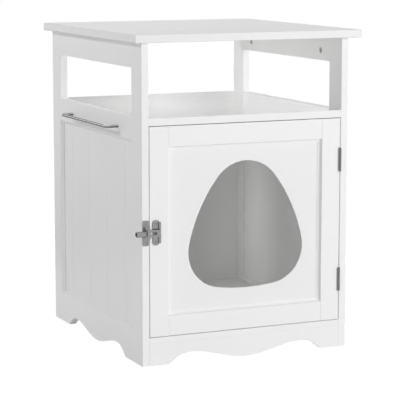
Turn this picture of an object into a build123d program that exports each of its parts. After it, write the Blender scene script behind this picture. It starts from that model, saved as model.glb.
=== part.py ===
from build123d import *
import math
import os

os.makedirs("parts", exist_ok=True)

# Whole cabinet, in millimetres
total_height = 650
cabinet_width = 450
cabinet_depth = 510
top_thickness = 16
top_side_overhang = 20
top_front_overhang = 20
top_edge_radius = 2

# Side frames: stiles and rails, with a window above and a thin beaded panel below
frame_thickness = 15
stile_width = 51
top_rail_height = 51
window_height = 95
mid_rail_height = 51
bottom_rail_height = 65
edge_radius = 1.2
panel_thickness = 4
panel_recess = 7
panel_tongue = 6
panel_play = 0.2
bead_count = 4
bead_width = 3
bead_depth = 0.7
frame_joint_chamfer = 0.5

# Scalloped lower edges: two arches that peak near the feet and a lobe in the middle
arch_height = 21
lobe_clearance = 1
arch_peak_share = 0.585
arch_foot_share = 0.81
foot_slope_share = 0.65

# Boards between the sides
shelf_thickness = 15
floor_thickness = 12
apron_thickness = 15
apron_height = 44
back_thickness = 9
back_set_in = 17
board_edge_radius = 0.8

# Door: a frame with coved inner edges round a thin panel
door_gap = 1.5
hinge_gap = 2
door_thickness = 16
door_stile_width = 40
door_rail_height = 40
cove_radius = 7
cove_quirk = 1
door_panel_thickness = 4
door_tongue = 6
joint_chamfer = 1

# Pet entrance: a rounded triangle of tangent arcs, nearer the hinges, with radii as shares of its height
entrance_sill_margin = 42
entrance_crown_margin = 36
entrance_side_margin = 42
entrance_shift = 2.6
entrance_corner_share = 0.292
entrance_flank_share = 1.248
entrance_crown_share = 0.31
entrance_sill_turn = 8.4
entrance_corner_turn = 93.6
entrance_flank_turn = 26.3

# Butt hinges in the right gap
hinge_height = 47
hinge_spacing = 246
hinge_stand_off = 2.6
barrel_radius = 2.3
leaf_thickness = 0.8
leaf_reach = 14
knuckle_gap = 0.3
pin_radius = 1.25
pin_clearance = 0.05
pin_tip = 0.8
hinge_screw_spacing = 27
hinge_screw_head_radius = 2.6
hinge_screw_shank_radius = 1.5
hinge_screw_length = 12

# Latch: a twist-lock hasp on the door and its keeper on the left stile
latch_height = 265
plate_thickness = 2
plate_height = 50
plate_width = 14
plate_inset = 5.5
plate_notch_depth = 9
plate_notch_height = 8
plate_screw_spacing = 36
plate_screw_head_radius = 3
plate_screw_shank_radius = 1.6
plate_screw_length = 14
keeper_corner_radius = 4
hinge_plate_corner_radius = 6.4
boss_height = 26
boss_thickness = 4
boss_wall = 1.4
boss_edge_radius = 0.6
hasp_knuckle_radius = 2.6
hasp_knuckle_height = 13.6
hasp_stand_off = 3
hasp_link_thickness = 3
hasp_link_front = 9
hasp_slot_height = 6.4
hasp_slot_length = 16
hasp_slot_margin = 0.6
hasp_clearance = 0.4
finger_radius = 5.5
finger_overhang = 16
finger_tail = 4.5
finger_edge_radius = 1
finger_wall = 1.4
finger_bore_depth = 12
knob_length = 22
knob_width = 6
knob_thickness = 4
knob_shaft_radius = 2.3
cam_length = 11
cam_thickness = 1.7
cam_clearance = 0.35

# Towel rail: one bent rod screwed on through the left mid rail
rail_diameter = 6
rail_stand_off = 25
rail_spacing = 261
rail_bend_radius = 10
rail_forward = 1
rail_screw_head_radius = 3.6
rail_screw_head_height = 2.4
rail_screw_radius = 1.7
rail_screw_bite = 11

# Hidden joinery: dowels, and cam locks with their bolts
dowel_radius = 3
dowel_length = 24
dowel_shares = (0.3, 0.7)
back_dowel_length = 20
back_dowel_shares = (0.2, 0.8)
knock_cam_radius = 6
knock_cam_depth = 8.5
knock_cam_sink = 2
knock_cam_setback = 31
knock_cam_inset = 40
bolt_radius = 2.5
bolt_bite = 10
apron_bolt_share = 0.6
bore_play = 0.1
bore_end_play = 0.5

# Places worked out from the sizes: the origin is on the floor, in the middle of the overall box
side_height = total_height - top_thickness
top_width = cabinet_width + 2 * top_side_overhang
top_depth = cabinet_depth + top_front_overhang
rail_reach = rail_stand_off + rail_diameter / 2
middle_x = (rail_reach - top_side_overhang) / 2
front_y = top_front_overhang - top_depth / 2
rear_y = top_depth / 2
left_outer_x = middle_x - cabinet_width / 2
right_outer_x = middle_x + cabinet_width / 2
left_inner_x = left_outer_x + frame_thickness
right_inner_x = right_outer_x - frame_thickness
inner_width = right_inner_x - left_inner_x
rail_front_y = front_y + stile_width
rail_rear_y = rear_y - stile_width
rail_length = rail_rear_y - rail_front_y
rail_mid_y = (rail_front_y + rail_rear_y) / 2
window_top_z = side_height - top_rail_height
sill_z = window_top_z - window_height
recess_top_z = sill_z - mid_rail_height
recess_height = recess_top_z - bottom_rail_height
shelf_under_z = sill_z - shelf_thickness
floor_top_z = apron_height + floor_thickness
board_depth = cabinet_depth - back_set_in
back_rear_y = rear_y - back_set_in
back_mid_y = back_rear_y - back_thickness / 2
back_height = shelf_under_z - floor_top_z
apron_mid_y = front_y + apron_thickness / 2

# Joinery places
groove_width = panel_thickness + 2 * panel_play
groove_depth = panel_tongue + panel_play
dowel_hole_radius = dowel_radius + bore_play
dowel_hole_depth = dowel_length / 2 + bore_end_play
back_dowel_hole_depth = back_dowel_length / 2 + bore_end_play
back_dowel_places = [(back_mid_y, floor_top_z + back_height * share) for share in back_dowel_shares]
bolt_hole_radius = bolt_radius + bore_play
bolt_hole_depth = bolt_bite + bore_end_play
bolt_start = knock_cam_setback - knock_cam_radius - bore_play
cam_pocket_radius = knock_cam_radius + bore_play
cam_pocket_depth = knock_cam_sink + knock_cam_depth + bore_play
cam_ys = (rail_front_y + knock_cam_inset, rail_rear_y - knock_cam_inset)
top_cam_places = [(y, side_height - knock_cam_setback) for y in cam_ys]
board_cam_xs = (left_inner_x + knock_cam_setback, right_inner_x - knock_cam_setback)
board_cam_places = [(x, y) for x in board_cam_xs for y in cam_ys]
apron_bolt_z = apron_height * apron_bolt_share
apron_cam_places = [(x, apron_bolt_z) for x in board_cam_xs]
shelf_bolt_z = shelf_under_z + shelf_thickness / 2
floor_bolt_z = apron_height + floor_thickness / 2

# Towel rail places
rail_z = (sill_z + recess_top_z) / 2
rail_mount_ys = (
    rail_mid_y - rail_forward - rail_spacing / 2,
    rail_mid_y - rail_forward + rail_spacing / 2,
)

# Door places
door_left_x = left_inner_x + door_gap
door_right_x = right_inner_x - hinge_gap
door_bottom_z = floor_top_z + door_gap
door_top_z = shelf_under_z - door_gap
door_height = door_top_z - door_bottom_z
door_back_y = front_y + door_thickness
opening_left_x = door_left_x + door_stile_width
opening_right_x = door_right_x - door_stile_width
opening_width = opening_right_x - opening_left_x
opening_bottom_z = door_bottom_z + door_rail_height
opening_top_z = door_top_z - door_rail_height
opening_height = opening_top_z - opening_bottom_z
opening_mid_z = (opening_bottom_z + opening_top_z) / 2
door_panel_front_y = front_y + cove_radius + cove_quirk
door_panel_mid_y = door_panel_front_y + door_panel_thickness / 2
door_groove_width = door_panel_thickness + 2 * panel_play
door_panel_width = opening_width + 2 * door_tongue
door_panel_height = opening_height + 2 * door_tongue
door_rail_mid_y = front_y + door_thickness / 2

# Hinge places
hinge_x = right_inner_x - barrel_radius
hinge_y = front_y - hinge_stand_off
hinge_mid_z = (door_bottom_z + door_top_z) / 2
hinge_zs = {"upper": hinge_mid_z + hinge_spacing / 2, "lower": hinge_mid_z - hinge_spacing / 2}
knuckle_height = hinge_height / 3
hinge_screw_y = front_y + leaf_reach / 2
hinge_screw_places = [
    (hinge_screw_y, hinge_z + shift)
    for hinge_z in hinge_zs.values()
    for shift in (-hinge_screw_spacing / 2, hinge_screw_spacing / 2)
]

# Latch places
keeper_x = left_outer_x + frame_thickness / 2
hinge_plate_x = door_left_x + plate_inset + plate_width / 2
hasp_pin_x = hinge_plate_x + plate_width / 2
hasp_pin_y = front_y - hasp_stand_off
finger_y = front_y - boss_thickness - hasp_clearance - finger_radius
finger_left_x = left_outer_x - finger_overhang
finger_right_x = keeper_x + finger_tail
latch_screw_zs = (latch_height - plate_screw_spacing / 2, latch_height + plate_screw_spacing / 2)


def bore_dowel_holes(joint_y, toward_front, places):
    """Sink dowel holes into the piece being made, from a joint face square to the Y axis."""
    with BuildSketch(Plane.XZ.offset(-joint_y)) as holes:
        with Locations(*places):
            Circle(dowel_hole_radius)
    extrude(holes.sketch, amount=toward_front * dowel_hole_depth, mode=Mode.SUBTRACT)


def scalloped_outline(half_length, height):
    """Outline a board that stands on two feet, with a lobe between two shallow arches."""
    lobe = (0, lobe_clearance)
    peak = (half_length * arch_peak_share, arch_height)
    foot = (half_length * arch_foot_share, 0)
    Spline(lobe, peak, tangents=[(1, 0), (1, 0)])
    Spline(peak, foot, tangents=[(1, 0), (1, -foot_slope_share)])
    Polyline(foot, (half_length, 0), (half_length, height), (0, height))
    mirror(about=Plane.YZ)


def bore_board_ends(under_z, bolt_z):
    """Sink cam pockets under the board being made, and the bolt channels in its two ends."""
    with BuildSketch(Plane.XY.offset(under_z)) as pockets:
        with Locations(*board_cam_places):
            Circle(cam_pocket_radius)
    extrude(pockets.sketch, amount=cam_pocket_depth, mode=Mode.SUBTRACT)
    for end_x, inward in ((left_inner_x, 1), (right_inner_x, -1)):
        with BuildSketch(Plane.YZ.offset(end_x)) as channels:
            with Locations(*[(y, bolt_z) for y in cam_ys]):
                Circle(bolt_hole_radius)
        extrude(channels.sketch, amount=inward * knock_cam_setback, mode=Mode.SUBTRACT)


def flat_head_screw(head_radius, shank_radius, head_height, length):
    """A countersunk wood screw with its head at the origin and its shank down the Z axis."""
    with BuildPart() as screw:
        with BuildSketch(Plane.XZ):
            with BuildLine():
                Polyline(
                    (0, 0),
                    (head_radius, 0),
                    (shank_radius, -head_height),
                    (shank_radius, shank_radius - length),
                    (0, -length),
                    close=True,
                )
            make_face()
        revolve(axis=Axis.Z)
    return screw.part


# Top board, drawn down onto the side frames by four hidden bolts
with BuildPart() as top_board:
    with BuildSketch(Plane.XY.offset(side_height)):
        with Locations((middle_x, 0)):
            Rectangle(top_width, top_depth)
    extrude(amount=top_thickness)
    fillet(top_board.edges(), radius=top_edge_radius)
    with BuildSketch(Plane.XY.offset(side_height)):
        for sign in (-1, 1):
            bolt_x = middle_x + sign * (cabinet_width - frame_thickness) / 2
            with Locations(*[(bolt_x, y) for y in cam_ys]):
                Circle(bolt_hole_radius)
    extrude(amount=bolt_hole_depth, mode=Mode.SUBTRACT)
top_board.part.label = "top_board"
export_step(top_board.part, "parts/top_board.step")

# Side frames
for side, sign, inner_group in (("left", -1, -1), ("right", 1, 0)):
    outer_x = middle_x + sign * cabinet_width / 2
    inner_x = outer_x - sign * frame_thickness
    frame_mid_x = (outer_x + inner_x) / 2
    frame_low_x = min(outer_x, inner_x)
    frame_plane = Plane.YZ.offset(frame_low_x)
    panel_outer_x = outer_x - sign * panel_recess
    panel_mid_x = panel_outer_x - sign * panel_thickness / 2
    groove_plane = Plane.YZ.offset(panel_mid_x - groove_width / 2)
    top_dowel_zs = [window_top_z + top_rail_height * share for share in dowel_shares]
    mid_dowel_zs = [recess_top_z + mid_rail_height * share for share in dowel_shares]
    bottom_dowel_zs = [bottom_rail_height * share for share in dowel_shares]
    stile_dowel_places = [(frame_mid_x, z) for z in top_dowel_zs + mid_dowel_zs + bottom_dowel_zs]

    # Stiles, full height, grooved for the panel and bored for the rails' dowels
    inside_holes = {
        "front": (bolt_hole_radius, bolt_hole_depth, [(apron_mid_y, apron_bolt_z)]),
        "rear": (dowel_hole_radius, back_dowel_hole_depth, back_dowel_places),
    }
    for end, low_y, joint_y, toward_front, outward_group in (
        ("front", front_y, rail_front_y, 1, 0),
        ("rear", rail_rear_y, rail_rear_y, -1, -1),
    ):
        with BuildPart() as stile:
            with BuildSketch(frame_plane):
                with Locations((low_y, 0)):
                    Rectangle(stile_width, side_height, align=Align.MIN)
            extrude(amount=frame_thickness)
            outward_edges = stile.edges().filter_by(Axis.Z).group_by(Axis.Y)[outward_group]
            fillet(outward_edges, radius=edge_radius)
            with BuildSketch(groove_plane):
                groove_mid_y = joint_y - toward_front * groove_depth / 2
                with Locations((groove_mid_y, bottom_rail_height + recess_height / 2)):
                    Rectangle(groove_depth, recess_height + 2 * groove_depth)
            extrude(amount=groove_width, mode=Mode.SUBTRACT)
            bore_dowel_holes(joint_y, toward_front, stile_dowel_places)
            hole_radius, hole_depth, hole_places = inside_holes[end]
            with BuildSketch(Plane.YZ.offset(inner_x)):
                with Locations(*hole_places):
                    Circle(hole_radius)
            extrude(amount=sign * hole_depth, mode=Mode.SUBTRACT)
            if (side, end) == ("right", "front"):
                with BuildSketch(Plane.YZ.offset(inner_x)):
                    with Locations(*hinge_screw_places):
                        Circle(hinge_screw_shank_radius + bore_play)
                extrude(amount=hinge_screw_length, mode=Mode.SUBTRACT)
            if (side, end) == ("left", "front"):
                with BuildSketch(Plane.XZ.offset(-front_y)):
                    with Locations(*[(keeper_x, z) for z in latch_screw_zs]):
                        Circle(plate_screw_shank_radius + bore_play)
                extrude(amount=-plate_screw_length, mode=Mode.SUBTRACT)
        stile.part.label = f"{side}_{end}_stile"
        export_step(stile.part, f"parts/{side}_{end}_stile.step")

    # Top rail, with two cam locks sunk in its inner face, and inner ends eased like the other rails
    with BuildPart() as top_rail:
        with BuildSketch(frame_plane):
            with Locations((rail_front_y, window_top_z)):
                Rectangle(rail_length, top_rail_height, align=Align.MIN)
        extrude(amount=frame_thickness)
        chamfer(top_rail.edges().filter_by(Axis.Z).group_by(Axis.X)[inner_group], length=frame_joint_chamfer)
        bore_dowel_holes(rail_front_y, -1, [(frame_mid_x, z) for z in top_dowel_zs])
        bore_dowel_holes(rail_rear_y, 1, [(frame_mid_x, z) for z in top_dowel_zs])
        with BuildSketch(Plane.YZ.offset(inner_x)):
            with Locations(*top_cam_places):
                Circle(cam_pocket_radius)
        extrude(amount=sign * cam_pocket_depth, mode=Mode.SUBTRACT)
        with BuildSketch(Plane.XY.offset(side_height)):
            with Locations(*[(frame_mid_x, y) for y in cam_ys]):
                Circle(bolt_hole_radius)
        extrude(amount=-knock_cam_setback, mode=Mode.SUBTRACT)
    top_rail.part.label = f"{side}_top_rail"
    export_step(top_rail.part, f"parts/{side}_top_rail.step")

    # Mid rail under the window, which carries the shelf and, on the left, the towel rail
    with BuildPart() as mid_rail:
        with BuildSketch(frame_plane):
            with Locations((rail_front_y, recess_top_z)):
                Rectangle(rail_length, mid_rail_height, align=Align.MIN)
        extrude(amount=frame_thickness)
        chamfer(mid_rail.edges().filter_by(Axis.Z).group_by(Axis.X)[inner_group], length=frame_joint_chamfer)
        with BuildSketch(groove_plane):
            with Locations((rail_front_y, recess_top_z)):
                Rectangle(rail_length, groove_depth, align=Align.MIN)
        extrude(amount=groove_width, mode=Mode.SUBTRACT)
        bore_dowel_holes(rail_front_y, -1, [(frame_mid_x, z) for z in mid_dowel_zs])
        bore_dowel_holes(rail_rear_y, 1, [(frame_mid_x, z) for z in mid_dowel_zs])
        with BuildSketch(Plane.YZ.offset(inner_x)):
            with Locations(*[(y, shelf_bolt_z) for y in cam_ys]):
                Circle(bolt_hole_radius)
        extrude(amount=sign * bolt_hole_depth, mode=Mode.SUBTRACT)
        if side == "left":
            with BuildSketch(Plane.YZ.offset(inner_x)):
                with Locations(*[(y, rail_z) for y in rail_mount_ys]):
                    Circle(rail_screw_radius + bore_play)
            extrude(amount=sign * frame_thickness, mode=Mode.SUBTRACT)
    mid_rail.part.label = f"{side}_mid_rail"
    export_step(mid_rail.part, f"parts/{side}_mid_rail.step")

    # Bottom rail with the scalloped edge, which carries the floor board
    with BuildPart() as bottom_rail:
        with BuildSketch(Plane((frame_low_x, rail_mid_y, 0), x_dir=(0, 1, 0), z_dir=(1, 0, 0))):
            with BuildLine():
                scalloped_outline(rail_length / 2, bottom_rail_height)
            make_face()
        extrude(amount=frame_thickness)
        chamfer(bottom_rail.edges().filter_by(Axis.Z).group_by(Axis.X)[inner_group], length=frame_joint_chamfer)
        with BuildSketch(groove_plane):
            with Locations((rail_front_y, bottom_rail_height - groove_depth)):
                Rectangle(rail_length, groove_depth, align=Align.MIN)
        extrude(amount=groove_width, mode=Mode.SUBTRACT)
        bore_dowel_holes(rail_front_y, -1, [(frame_mid_x, z) for z in bottom_dowel_zs])
        bore_dowel_holes(rail_rear_y, 1, [(frame_mid_x, z) for z in bottom_dowel_zs])
        with BuildSketch(Plane.YZ.offset(inner_x)):
            with Locations(*[(y, floor_bolt_z) for y in cam_ys]):
                Circle(bolt_hole_radius)
        extrude(amount=sign * bolt_hole_depth, mode=Mode.SUBTRACT)
    bottom_rail.part.label = f"{side}_bottom_rail"
    export_step(bottom_rail.part, f"parts/{side}_bottom_rail.step")

    # Panel, loose in the frame's grooves, with shallow upright flutes in its outer face
    bead_pitch = rail_length / bead_count
    first_bead_y = rail_front_y + bead_pitch / 2
    bead_places = [(panel_outer_x, first_bead_y + bead_pitch * step) for step in range(bead_count)]
    panel_bottom_z = bottom_rail_height - panel_tongue
    with BuildPart() as side_panel:
        with BuildSketch(Plane.XY.offset(panel_bottom_z)):
            with Locations((panel_mid_x, rail_mid_y)):
                Rectangle(panel_thickness, rail_length + 2 * panel_tongue)
            with Locations(*bead_places):
                Ellipse(bead_depth, bead_width / 2, mode=Mode.SUBTRACT)
        extrude(amount=recess_height + 2 * panel_tongue)
    side_panel.part.label = f"{side}_panel"
    export_step(side_panel.part, f"parts/{side}_panel.step")

# Dowels of the side frames
with BuildPart() as side_dowels:
    for joint_y in (rail_front_y, rail_rear_y):
        with BuildSketch(Plane.XZ.offset(-joint_y - dowel_length / 2)):
            for frame_outer_x, inward in ((left_outer_x, 1), (right_outer_x, -1)):
                frame_middle_x = frame_outer_x + inward * frame_thickness / 2
                with Locations(*[(frame_middle_x, z) for _, z in stile_dowel_places]):
                    Circle(dowel_radius)
        extrude(amount=dowel_length)
side_dowels.part.label = "side_dowels"
export_step(side_dowels.part, "parts/side_dowels.step")

# Shelf, level with the window sills
with BuildPart() as shelf:
    with BuildSketch(Plane.XY.offset(shelf_under_z)):
        with Locations((left_inner_x, front_y)):
            Rectangle(inner_width, board_depth, align=Align.MIN)
    extrude(amount=shelf_thickness)
    fillet(shelf.edges().filter_by(Axis.X).group_by(Axis.Y)[0], radius=board_edge_radius)
    bore_board_ends(shelf_under_z, shelf_bolt_z)
shelf.part.label = "shelf"
export_step(shelf.part, "parts/shelf.step")

# Floor board, whose front edge shows under the door
with BuildPart() as floor_board:
    with BuildSketch(Plane.XY.offset(apron_height)):
        with Locations((left_inner_x, front_y)):
            Rectangle(inner_width, board_depth, align=Align.MIN)
    extrude(amount=floor_thickness)
    fillet(floor_board.edges().filter_by(Axis.X).group_by(Axis.Y)[0], radius=board_edge_radius)
    bore_board_ends(apron_height, floor_bolt_z)
floor_board.part.label = "floor_board"
export_step(floor_board.part, "parts/floor_board.step")

# Back panel of the cabin, doweled between the rear stiles
with BuildPart() as back_panel:
    with BuildSketch(Plane.XZ.offset(-back_rear_y)):
        with Locations((left_inner_x, floor_top_z)):
            Rectangle(inner_width, back_height, align=Align.MIN)
    extrude(amount=back_thickness)
    for end_x, inward in ((left_inner_x, 1), (right_inner_x, -1)):
        with BuildSketch(Plane.YZ.offset(end_x)):
            with Locations(*back_dowel_places):
                Circle(dowel_hole_radius)
        extrude(amount=inward * back_dowel_hole_depth, mode=Mode.SUBTRACT)
back_panel.part.label = "back_panel"
export_step(back_panel.part, "parts/back_panel.step")

with BuildPart() as back_dowels:
    for end_x in (left_inner_x, right_inner_x):
        with BuildSketch(Plane.YZ.offset(end_x - back_dowel_length / 2)):
            with Locations(*back_dowel_places):
                Circle(dowel_radius)
        extrude(amount=back_dowel_length)
back_dowels.part.label = "back_dowels"
export_step(back_dowels.part, "parts/back_dowels.step")

# Front apron under the floor board, scalloped like the side rails
with BuildPart() as front_apron:
    with BuildSketch(Plane((middle_x, front_y + apron_thickness, 0), x_dir=(1, 0, 0), z_dir=(0, -1, 0))):
        with BuildLine():
            scalloped_outline(inner_width / 2, apron_height)
        make_face()
    extrude(amount=apron_thickness)
    front_edges = front_apron.faces().sort_by(Axis.Y)[0].edges()
    fillet(front_edges.filter_by(GeomType.LINE).sort_by(Axis.Z)[-1], radius=board_edge_radius)
    with BuildSketch(Plane.XZ.offset(-front_y - apron_thickness)):
        with Locations(*apron_cam_places):
            Circle(cam_pocket_radius)
    extrude(amount=cam_pocket_depth, mode=Mode.SUBTRACT)
    for end_x, inward in ((left_inner_x, 1), (right_inner_x, -1)):
        with BuildSketch(Plane.YZ.offset(end_x)):
            with Locations((apron_mid_y, apron_bolt_z)):
                Circle(bolt_hole_radius)
        extrude(amount=inward * knock_cam_setback, mode=Mode.SUBTRACT)
front_apron.part.label = "front_apron"
export_step(front_apron.part, "parts/front_apron.step")

# Cam locks: in the top rails, under the shelf and the floor board, and behind the apron
with BuildPart() as cam_locks:
    for inner_x, outward in ((left_inner_x, -1), (right_inner_x, 1)):
        with BuildSketch(Plane.YZ.offset(inner_x + outward * knock_cam_sink)):
            with Locations(*top_cam_places):
                Circle(knock_cam_radius)
        extrude(amount=outward * knock_cam_depth)
    for under_z in (shelf_under_z, apron_height):
        with BuildSketch(Plane.XY.offset(under_z + knock_cam_sink)):
            with Locations(*board_cam_places):
                Circle(knock_cam_radius)
        extrude(amount=knock_cam_depth)
    with BuildSketch(Plane.XZ.offset(knock_cam_sink - front_y - apron_thickness)):
        with Locations(*apron_cam_places):
            Circle(knock_cam_radius)
    extrude(amount=knock_cam_depth)
cam_locks.part.label = "cam_locks"
export_step(cam_locks.part, "parts/cam_locks.step")

# Bolts that the cam locks draw in
side_bolt_places = [(y, z) for z in (shelf_bolt_z, floor_bolt_z) for y in cam_ys]
side_bolt_places.append((apron_mid_y, apron_bolt_z))
with BuildPart() as cam_bolts:
    with BuildSketch(Plane.XY.offset(side_height - bolt_start)):
        for sign in (-1, 1):
            bolt_x = middle_x + sign * (cabinet_width - frame_thickness) / 2
            with Locations(*[(bolt_x, y) for y in cam_ys]):
                Circle(bolt_radius)
    extrude(amount=bolt_start + bolt_bite)
    for end_x, outward in ((left_inner_x, -1), (right_inner_x, 1)):
        with BuildSketch(Plane.YZ.offset(end_x - outward * bolt_start)):
            with Locations(*side_bolt_places):
                Circle(bolt_radius)
        extrude(amount=outward * (bolt_start + bolt_bite))
cam_bolts.part.label = "cam_bolts"
export_step(cam_bolts.part, "parts/cam_bolts.step")

# Towel rail, bent from one rod, with a tapped hole in each end
with BuildPart() as towel_rail:
    with BuildLine():
        FilletPolyline(
            (left_outer_x, rail_mount_ys[0], rail_z),
            (left_outer_x - rail_stand_off, rail_mount_ys[0], rail_z),
            (left_outer_x - rail_stand_off, rail_mount_ys[1], rail_z),
            (left_outer_x, rail_mount_ys[1], rail_z),
            radius=rail_bend_radius,
        )
    with BuildSketch(Plane((left_outer_x, rail_mount_ys[0], rail_z), z_dir=(-1, 0, 0))):
        Circle(rail_diameter / 2)
    sweep()
    with BuildSketch(Plane.YZ.offset(left_outer_x)):
        with Locations(*[(y, rail_z) for y in rail_mount_ys]):
            Circle(rail_screw_radius + bore_play)
    extrude(amount=-rail_screw_bite - bore_end_play, mode=Mode.SUBTRACT)
towel_rail.part.label = "towel_rail"
export_step(towel_rail.part, "parts/towel_rail.step")

# Screws that hold the towel rail, with their heads inside the shelf's side frame
with BuildPart() as rail_screws:
    with BuildSketch(Plane.YZ.offset(left_inner_x)):
        with Locations(*[(y, rail_z) for y in rail_mount_ys]):
            Circle(rail_screw_head_radius)
    extrude(amount=rail_screw_head_height)
    fillet(rail_screws.edges().group_by(Axis.X)[-1], radius=rail_screw_head_height / 2)
    with BuildSketch(Plane.YZ.offset(left_inner_x)):
        with Locations(*[(y, rail_z) for y in rail_mount_ys]):
            Circle(rail_screw_radius)
    extrude(amount=-frame_thickness - rail_screw_bite)
rail_screws.part.label = "rail_screws"
export_step(rail_screws.part, "parts/rail_screws.step")

# The coved recess that all four pieces of the door frame are shaped by
with BuildPart() as cove_recess:
    with BuildSketch(Plane.XZ.offset(-front_y - cove_radius)):
        with Locations((opening_left_x + opening_width / 2, opening_mid_z)):
            Rectangle(opening_width, opening_height)
    extrude(amount=door_thickness)
    fillet(cove_recess.faces().sort_by(Axis.Y)[-1].edges(), radius=cove_radius)

# The groove that holds the door panel, also shared by the four pieces
with BuildPart() as door_groove:
    with BuildSketch(Plane.XZ.offset(-door_panel_mid_y - door_groove_width / 2)):
        with Locations((opening_left_x + opening_width / 2, opening_mid_z)):
            Rectangle(door_panel_width + 2 * panel_play, door_panel_height + 2 * panel_play)
    extrude(amount=door_groove_width)

# Door stiles, full height, each with its coved lip between the rails
door_plane = Plane.XZ.offset(-door_back_y)
door_dowel_zs = [
    low_z + door_rail_height * share for low_z in (door_bottom_z, opening_top_z) for share in dowel_shares
]
door_dowel_places = [(door_rail_mid_y, z) for z in door_dowel_zs]
for side, stile_x, joint_x, lip_x, outward in (
    ("left", door_left_x, opening_left_x, opening_left_x, -1),
    ("right", opening_right_x, opening_right_x, opening_right_x - cove_radius, 1),
):
    with BuildPart() as door_stile:
        with BuildSketch(door_plane):
            with Locations((stile_x, door_bottom_z)):
                Rectangle(door_stile_width, door_height, align=Align.MIN)
        extrude(amount=door_thickness)
        front_edges = door_stile.faces().sort_by(Axis.Y)[0].edges().filter_by(Axis.Z)
        fillet(front_edges.sort_by(Axis.X)[0 if outward < 0 else -1], radius=board_edge_radius)
        with BuildSketch(door_plane):
            with Locations((lip_x, opening_bottom_z)):
                Rectangle(cove_radius, opening_height, align=Align.MIN)
        extrude(amount=door_thickness)
        add(cove_recess.part, mode=Mode.SUBTRACT)
        add(door_groove.part, mode=Mode.SUBTRACT)
        with BuildSketch(Plane.YZ.offset(joint_x)):
            with Locations(*door_dowel_places):
                Circle(dowel_hole_radius)
        extrude(amount=outward * dowel_hole_depth, mode=Mode.SUBTRACT)
        if side == "right":
            with BuildSketch(Plane.YZ.offset(door_right_x)):
                with Locations(*hinge_screw_places):
                    Circle(hinge_screw_shank_radius + bore_play)
            extrude(amount=-hinge_screw_length, mode=Mode.SUBTRACT)
        if side == "left":
            with BuildSketch(Plane.XZ.offset(-front_y)):
                with Locations(*[(hinge_plate_x, z) for z in latch_screw_zs]):
                    Circle(plate_screw_shank_radius + bore_play)
            extrude(amount=-plate_screw_length, mode=Mode.SUBTRACT)
    door_stile.part.label = f"door_{side}_stile"
    export_step(door_stile.part, f"parts/door_{side}_stile.step")

# Door rails, between the stiles, with eased ends that show as joint lines
for level, rail_low_z, lip_low_z in (
    ("top", opening_top_z, opening_top_z - cove_radius),
    ("bottom", door_bottom_z, opening_bottom_z),
):
    with BuildPart() as door_rail:
        with BuildSketch(door_plane):
            with Locations((opening_left_x, rail_low_z)):
                Rectangle(opening_width, door_rail_height, align=Align.MIN)
        extrude(amount=door_thickness)
        chamfer(door_rail.faces().sort_by(Axis.Y)[0].edges().filter_by(Axis.Z), length=joint_chamfer)
        with BuildSketch(door_plane):
            with Locations((opening_left_x + cove_radius, lip_low_z)):
                Rectangle(opening_width - 2 * cove_radius, cove_radius, align=Align.MIN)
        extrude(amount=door_thickness)
        add(cove_recess.part, mode=Mode.SUBTRACT)
        add(door_groove.part, mode=Mode.SUBTRACT)
        rail_dowel_places = [
            (door_rail_mid_y, rail_low_z + door_rail_height * share) for share in dowel_shares
        ]
        for joint_x, inward in ((opening_left_x, 1), (opening_right_x, -1)):
            with BuildSketch(Plane.YZ.offset(joint_x)):
                with Locations(*rail_dowel_places):
                    Circle(dowel_hole_radius)
            extrude(amount=inward * dowel_hole_depth, mode=Mode.SUBTRACT)
    door_rail.part.label = f"door_{level}_rail"
    export_step(door_rail.part, f"parts/door_{level}_rail.step")

with BuildPart() as door_dowels:
    for joint_x in (opening_left_x, opening_right_x):
        with BuildSketch(Plane.YZ.offset(joint_x - dowel_length / 2)):
            with Locations(*door_dowel_places):
                Circle(dowel_radius)
        extrude(amount=dowel_length)
door_dowels.part.label = "door_dowels"
export_step(door_dowels.part, "parts/door_dowels.step")

# Door panel with the pet entrance, drawn as four tangent arcs a side from the middle of the sill to the crown
sill_end = math.radians(entrance_sill_turn)
corner_end = sill_end + math.radians(entrance_corner_turn)
flank_end = corner_end + math.radians(entrance_flank_turn)
sill_reach_share = entrance_corner_share * math.sin(sill_end)
sill_reach_share += (entrance_flank_share - entrance_corner_share) * math.sin(corner_end)
sill_reach_share -= (entrance_flank_share - entrance_crown_share) * math.sin(flank_end)
sill_share = sill_reach_share / math.sin(sill_end)
rise_share = sill_share * (1 - math.cos(sill_end))
rise_share += entrance_corner_share * (math.cos(sill_end) - math.cos(corner_end))
rise_share += entrance_flank_share * (math.cos(corner_end) - math.cos(flank_end))
rise_share += entrance_crown_share * (1 + math.cos(flank_end))
span_share = 2 * (sill_reach_share + entrance_corner_share * (1 - math.sin(sill_end)))
entrance_room = opening_height - entrance_sill_margin - entrance_crown_margin
arc_unit = min(entrance_room / rise_share, (opening_width - 2 * entrance_side_margin) / span_share)
sill_radius = sill_share * arc_unit
corner_radius = entrance_corner_share * arc_unit
flank_radius = entrance_flank_share * arc_unit
crown_radius = entrance_crown_share * arc_unit
crown_turn = 180 - entrance_sill_turn - entrance_corner_turn - entrance_flank_turn
entrance_x = opening_left_x + opening_width / 2 + entrance_shift
entrance_back_y = door_panel_front_y + door_panel_thickness
entrance_origin = (entrance_x, entrance_back_y, opening_bottom_z + entrance_sill_margin)
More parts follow.
